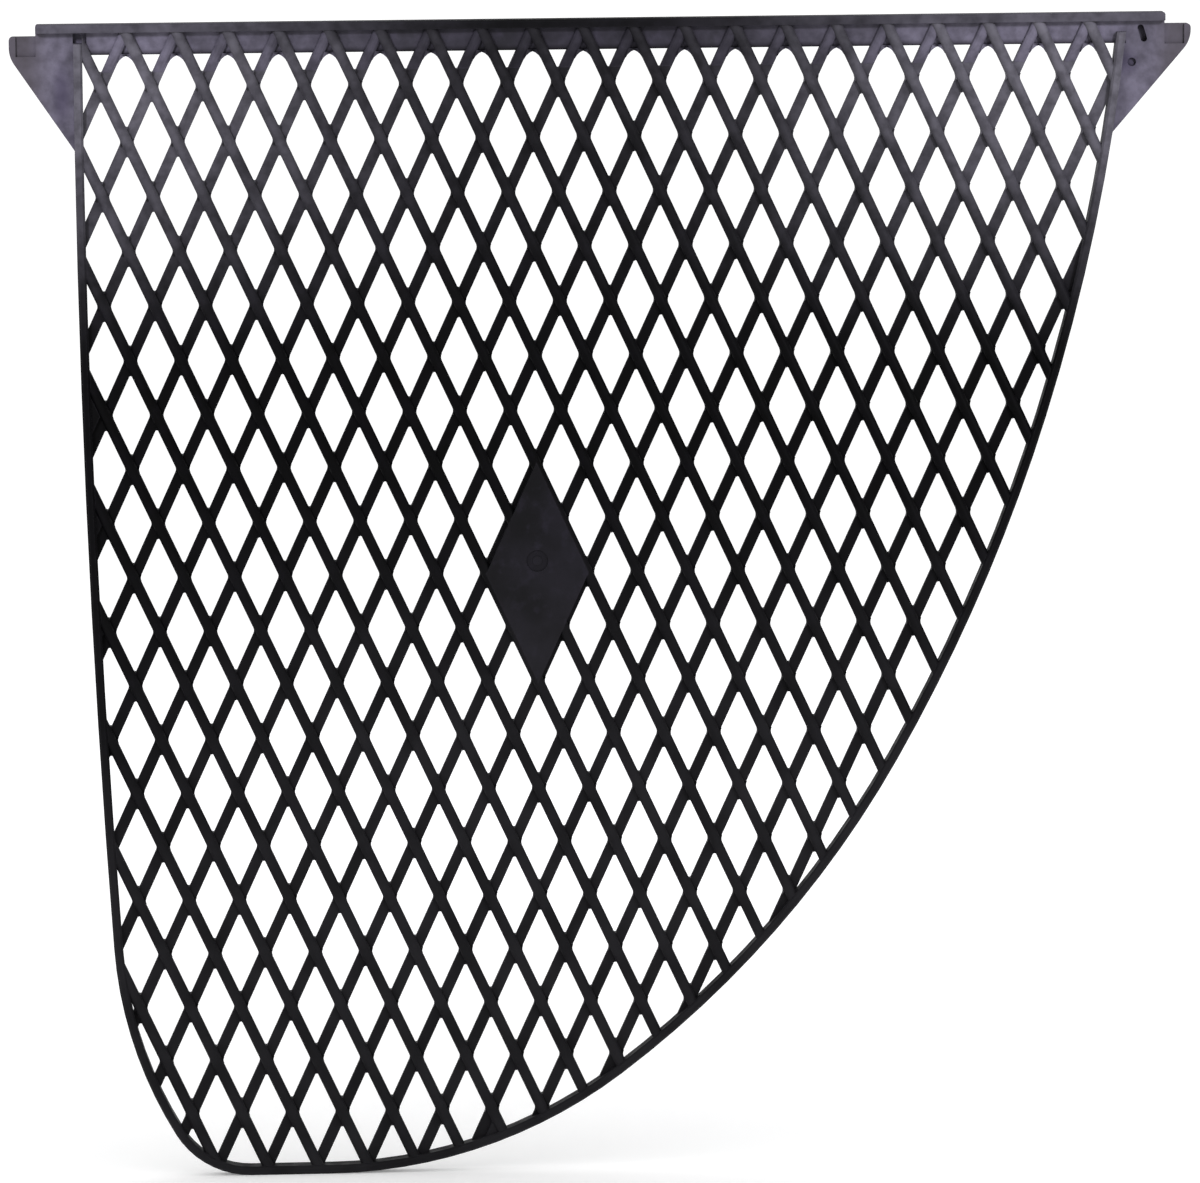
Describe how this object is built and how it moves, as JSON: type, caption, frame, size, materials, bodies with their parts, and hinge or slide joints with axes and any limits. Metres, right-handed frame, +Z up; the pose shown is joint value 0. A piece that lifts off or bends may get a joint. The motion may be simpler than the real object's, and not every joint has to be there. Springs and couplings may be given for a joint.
{
  "type": "windshield screen",
  "caption": "D-shaped diamond-mesh screen with a thin rim, straight top rail and two corner gussets, for a motorcycle fairing opening.",
  "frame": {"origin": "middle of the rail's top seat, in the plane where the two strand layers meet", "axes": "+Z up, out of the rail's seat; +X along the rail, to the right seen from the front; the front faces -Y"},
  "size_m": [0.28, 0.005, 0.2769],
  "materials": {
    "strand_plastic": "satin black moulded mesh",
    "rim_plastic": "satin black moulded rim",
    "blank_plastic": "satin black flat face",
    "rail_plastic": "satin grey-black rail plate, hazed towards its ends",
    "ledge_plastic": "satin black ledge, greyer towards its ends",
    "gusset_plastic": "hazed grey gussets and ears"
  },
  "bodies": {
    "root": {"back_strand_01": "strand_plastic", "back_strand_02": "strand_plastic", "back_strand_03": "strand_plastic", "back_strand_04": "strand_plastic", "back_strand_05": "strand_plastic", "back_strand_06": "strand_plastic", "back_strand_07": "strand_plastic", "back_strand_08": "strand_plastic", "back_strand_09": "strand_plastic", "back_strand_10": "strand_plastic", "back_strand_11": "strand_plastic", "back_strand_12": "strand_plastic", "back_strand_13": "strand_plastic", "back_strand_14": "strand_plastic", "back_strand_15": "strand_plastic", "back_strand_16": "strand_plastic", "back_strand_17": "strand_plastic", "back_strand_18": "strand_plastic", "back_strand_19": "strand_plastic", "back_strand_20": "strand_plastic", "back_strand_21": "strand_plastic", "back_strand_22": "strand_plastic", "centre_blank": "blank_plastic", "edge_webs": "rim_plastic", "front_strand_01": "strand_plastic", "front_strand_02": "strand_plastic", "front_strand_03": "strand_plastic", "front_strand_04": "strand_plastic", "front_strand_05": "strand_plastic", "front_strand_06": "strand_plastic", "front_strand_07": "strand_plastic", "front_strand_08": "strand_plastic", "front_strand_09": "strand_plastic", "front_strand_10": "strand_plastic", "front_strand_11": "strand_plastic", "front_strand_12": "strand_plastic", "front_strand_13": "strand_plastic", "front_strand_14": "strand_plastic", "front_strand_15": "strand_plastic", "front_strand_16": "strand_plastic", "front_strand_17": "strand_plastic", "front_strand_18": "strand_plastic", "front_strand_19": "strand_plastic", "front_strand_20": "strand_plastic", "front_strand_21": "strand_plastic", "front_strand_22": "strand_plastic", "front_strand_23": "strand_plastic", "front_strand_24": "strand_plastic", "front_strand_25": "strand_plastic", "front_strand_26": "strand_plastic", "front_strand_27": "strand_plastic", "front_strand_28": "strand_plastic", "front_strand_29": "strand_plastic", "left_gusset": "gusset_plastic", "rail_ledge": "ledge_plastic", "rail_plate": "rail_plastic", "right_gusset": "gusset_plastic", "rim": "rim_plastic"}
  },
  "joints": []
}
